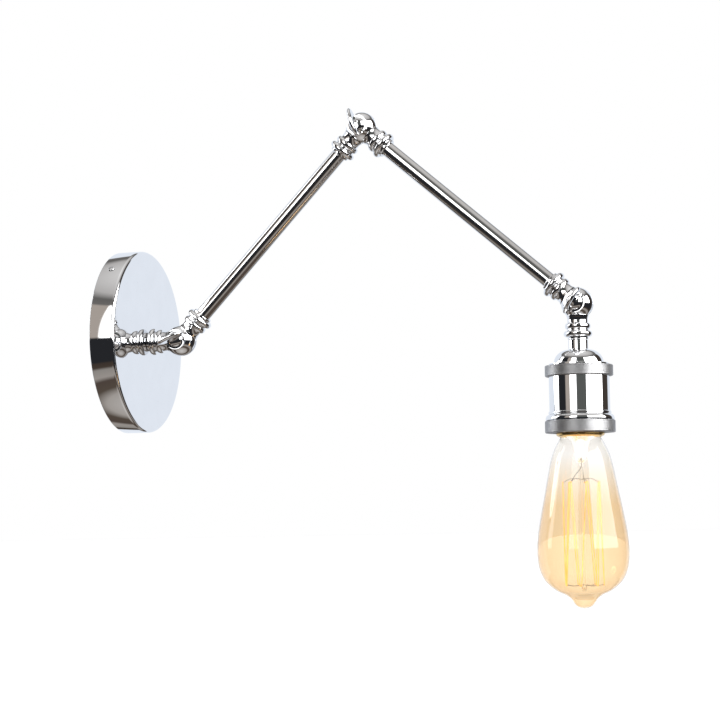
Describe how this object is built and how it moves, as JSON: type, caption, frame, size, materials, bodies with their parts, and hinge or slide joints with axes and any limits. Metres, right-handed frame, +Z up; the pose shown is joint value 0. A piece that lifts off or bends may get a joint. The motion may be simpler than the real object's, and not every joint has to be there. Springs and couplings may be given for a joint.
{
  "type": "swing arm wall sconce",
  "caption": "Wall light with a round wall plate, two straight arms on three friction knuckles, and a bare bulb in a ringed metal socket.",
  "frame": {"origin": "centre of the wall plate's back, on the wall", "axes": "+X out of the wall, +Z up; the arms move in the XZ plane and the thumb screws face -Y"},
  "size_m": [0.3513, 0.127, 0.3384],
  "materials": {
    "chrome": "polished chrome plate",
    "satin": "knurled chrome",
    "steel": "zinc-plated steel",
    "brass": "bright brass",
    "fibre": "pressed fibre",
    "porcelain": "glazed porcelain",
    "cable": "insulated lamp lead",
    "ground": "green ground screw",
    "amber_glass": "clear glass with an amber tint",
    "clear_glass": "clear glass",
    "filament": "glowing filament"
  },
  "bodies": {
    "wall_base": {"wall_plate": "chrome", "mounting_bracket": "steel", "side_screw_1": "chrome", "side_screw_2": "chrome", "ground_screw": "ground", "base_nipple": "steel", "base_lock_washer": "steel", "base_lock_nut": "steel", "base_lead": "cable", "base_knuckle": "chrome"},
    "arm_1": {"arm_1_base_knuckle": "chrome", "arm_1_tube": "chrome", "arm_1_elbow_knuckle": "chrome", "arm_1_lead": "cable", "base_friction_washer": "fibre", "base_spring_washer": "steel"},
    "base_screw": {"base_thumb_screw": "chrome"},
    "arm_2": {"arm_2_elbow_knuckle": "chrome", "arm_2_tube": "chrome", "arm_2_head_knuckle": "chrome", "arm_2_lead": "cable", "elbow_friction_washer": "fibre", "elbow_spring_washer": "steel"},
    "elbow_screw": {"elbow_thumb_screw": "chrome"},
    "head": {"head_knuckle": "chrome", "head_stem": "chrome", "head_lead": "cable", "head_friction_washer": "fibre", "head_spring_washer": "steel", "socket_cap": "chrome", "upper_ring": "satin", "socket_shell": "chrome", "socket_insulator": "porcelain", "screw_shell": "brass", "socket_contact": "brass", "terminal_screw_1": "brass", "terminal_screw_2": "steel"},
    "head_screw": {"head_thumb_screw": "chrome"},
    "shade_ring": {"shade_ring": "satin"},
    "bulb": {"bulb_glass": "amber_glass", "bulb_cap": "brass", "bulb_insulator": "porcelain", "bulb_contact": "brass", "bulb_stem": "clear_glass", "lead_in_1": "steel", "lead_in_2": "steel", "filament": "filament"}
  },
  "joints": [
    {"name": "base_tilt", "type": "hinge", "parent": "wall_base", "child": "arm_1", "pos_m": [0.0418, 0, 0], "axis": [0, -1, 0], "range_deg": [-105, 38]},
    {"name": "elbow_tilt", "type": "hinge", "parent": "arm_1", "child": "arm_2", "pos_m": [0.1751, 0, 0.14095], "axis": [0, -1, 0], "range_deg": [-13, 117]},
    {"name": "head_tilt", "type": "hinge", "parent": "arm_2", "child": "head", "pos_m": [0.32106, 0, 0.01317], "axis": [0, -1, 0], "range_deg": [-41, 138]},
    {"name": "base_screw_turn", "type": "hinge", "parent": "arm_1", "child": "base_screw", "pos_m": [0.0418, 0, 0], "axis": [0, -1, 0], "range_deg": [-180, 180]},
    {"name": "elbow_screw_turn", "type": "hinge", "parent": "arm_2", "child": "elbow_screw", "pos_m": [0.1751, 0, 0.14095], "axis": [0, -1, 0], "range_deg": [-180, 180]},
    {"name": "head_screw_turn", "type": "hinge", "parent": "head", "child": "head_screw", "pos_m": [0.32106, 0, 0.01317], "axis": [0, -1, 0], "range_deg": [-180, 180]},
    {"name": "shade_ring_turn", "type": "hinge", "parent": "head", "child": "shade_ring", "pos_m": [0.32106, 0, -0.06803], "axis": [0, 0, -1], "range_deg": [-180, 0]},
    {"name": "bulb_turn", "type": "hinge", "parent": "head", "child": "bulb", "pos_m": [0.32106, 0, -0.06083], "axis": [0, 0, -1], "range_deg": [-90, 0]}
  ]
}
